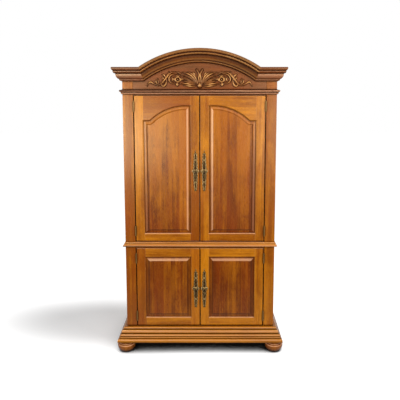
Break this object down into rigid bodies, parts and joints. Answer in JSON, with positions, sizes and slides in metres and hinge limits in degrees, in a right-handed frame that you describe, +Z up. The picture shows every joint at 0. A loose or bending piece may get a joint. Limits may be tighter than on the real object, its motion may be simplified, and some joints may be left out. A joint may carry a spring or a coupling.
{
  "type": "tv armoire",
  "caption": "Tall wooden television armoire on bun feet, with an arched crown, carved frieze, arched raised-panel doors over a television bay and short doors over a shelf bay.",
  "frame": {"origin": "on the floor under the middle of the bounding box", "axes": "+Z up, doors face -Y, +X to the right of someone facing the doors"},
  "size_m": [1.222, 0.641, 2.183],
  "materials": {
    "frame_wood": "stained maple, satin lacquer",
    "door_panel_wood": "stained maple, satin lacquer",
    "moulding_wood": "stained maple with dark glaze, satin lacquer",
    "frieze_wood": "red-brown stain, satin lacquer",
    "inside_boards": "stained veneer, satin lacquer",
    "raw_wood": "unfinished",
    "back_board": "hardboard, brown face",
    "antique_brass": "antiqued",
    "hinge_brass": "bronzed",
    "catch_plastic": "moulded",
    "pin_steel": "zinc plated"
  },
  "bodies": {
    "case": {"back_panel_lower": "back_board", "back_panel_upper": "back_board", "base_moulding": "moulding_wood", "base_returns": "moulding_wood", "bottom_panel": "inside_boards", "bottom_rail": "frame_wood", "corner_blocks": "raw_wood", "crown_arch": "moulding_wood", "crown_end_left": "moulding_wood", "crown_end_right": "moulding_wood", "door_catches": "catch_plastic", "face_stile_left": "frame_wood", "face_stile_right": "frame_wood", "frieze_board": "frieze_wood", "frieze_carving": "frieze_wood", "front_foot_left": "moulding_wood", "front_foot_right": "moulding_wood", "hinge_frame_leaves": "hinge_brass", "lower_shelf": "inside_boards", "necking_moulding": "moulding_wood", "rear_foot_left": "moulding_wood", "rear_foot_right": "moulding_wood", "shelf_pins": "pin_steel", "side_panel_left": "frame_wood", "side_panel_right": "frame_wood", "top_panel": "inside_boards", "tv_deck": "inside_boards", "waist_moulding": "moulding_wood", "waist_rail": "frame_wood"},
    "upper_left_door": {"upper_left_bottom_rail": "frame_wood", "upper_left_door_hardware": "hinge_brass", "upper_left_hinge_stile": "frame_wood", "upper_left_meeting_stile": "frame_wood", "upper_left_panel": "door_panel_wood", "upper_left_pull_plate": "antique_brass", "upper_left_top_rail": "frame_wood"},
    "upper_right_door": {"upper_right_bottom_rail": "frame_wood", "upper_right_door_hardware": "hinge_brass", "upper_right_hinge_stile": "frame_wood", "upper_right_meeting_stile": "frame_wood", "upper_right_panel": "door_panel_wood", "upper_right_pull_plate": "antique_brass", "upper_right_top_rail": "frame_wood"},
    "lower_left_door": {"lower_left_door_hardware": "hinge_brass", "lower_left_hinge_stile": "frame_wood", "lower_left_meeting_stile": "frame_wood", "lower_left_panel": "door_panel_wood", "lower_left_pull_plate": "antique_brass", "lower_left_rails": "frame_wood"},
    "lower_right_door": {"lower_right_door_hardware": "hinge_brass", "lower_right_hinge_stile": "frame_wood", "lower_right_meeting_stile": "frame_wood", "lower_right_panel": "door_panel_wood", "lower_right_pull_plate": "antique_brass", "lower_right_rails": "frame_wood"},
    "upper_left_pendant": {"upper_left_pull_pendant": "antique_brass"},
    "upper_right_pendant": {"upper_right_pull_pendant": "antique_brass"},
    "lower_left_pendant": {"lower_left_pull_pendant": "antique_brass"},
    "lower_right_pendant": {"lower_right_pull_pendant": "antique_brass"}
  },
  "joints": [
    {"name": "upper_left_door_hinge", "type": "hinge", "parent": "case", "child": "upper_left_door", "pos_m": [-0.4635, -0.2545, 1.3435], "axis": [0, 0, -1], "range_deg": [0, 165]},
    {"name": "upper_right_door_hinge", "type": "hinge", "parent": "case", "child": "upper_right_door", "pos_m": [0.4635, -0.2545, 1.3435], "axis": [0, 0, 1], "range_deg": [0, 165]},
    {"name": "lower_left_door_hinge", "type": "hinge", "parent": "case", "child": "lower_left_door", "pos_m": [-0.4635, -0.2545, 0.474], "axis": [0, 0, -1], "range_deg": [0, 165]},
    {"name": "lower_right_door_hinge", "type": "hinge", "parent": "case", "child": "lower_right_door", "pos_m": [0.4635, -0.2545, 0.474], "axis": [0, 0, 1], "range_deg": [0, 165]},
    {"name": "upper_left_pendant_hinge", "type": "hinge", "parent": "upper_left_door", "child": "upper_left_pendant", "pos_m": [-0.031, -0.2625, 1.3325], "axis": [-1, 0, 0], "range_deg": [0, 80]},
    {"name": "upper_right_pendant_hinge", "type": "hinge", "parent": "upper_right_door", "child": "upper_right_pendant", "pos_m": [0.031, -0.2625, 1.3325], "axis": [-1, 0, 0], "range_deg": [0, 80]},
    {"name": "lower_left_pendant_hinge", "type": "hinge", "parent": "lower_left_door", "child": "lower_left_pendant", "pos_m": [-0.031, -0.2625, 0.463], "axis": [-1, 0, 0], "range_deg": [0, 80]},
    {"name": "lower_right_pendant_hinge", "type": "hinge", "parent": "lower_right_door", "child": "lower_right_pendant", "pos_m": [0.031, -0.2625, 0.463], "axis": [-1, 0, 0], "range_deg": [0, 80]}
  ]
}
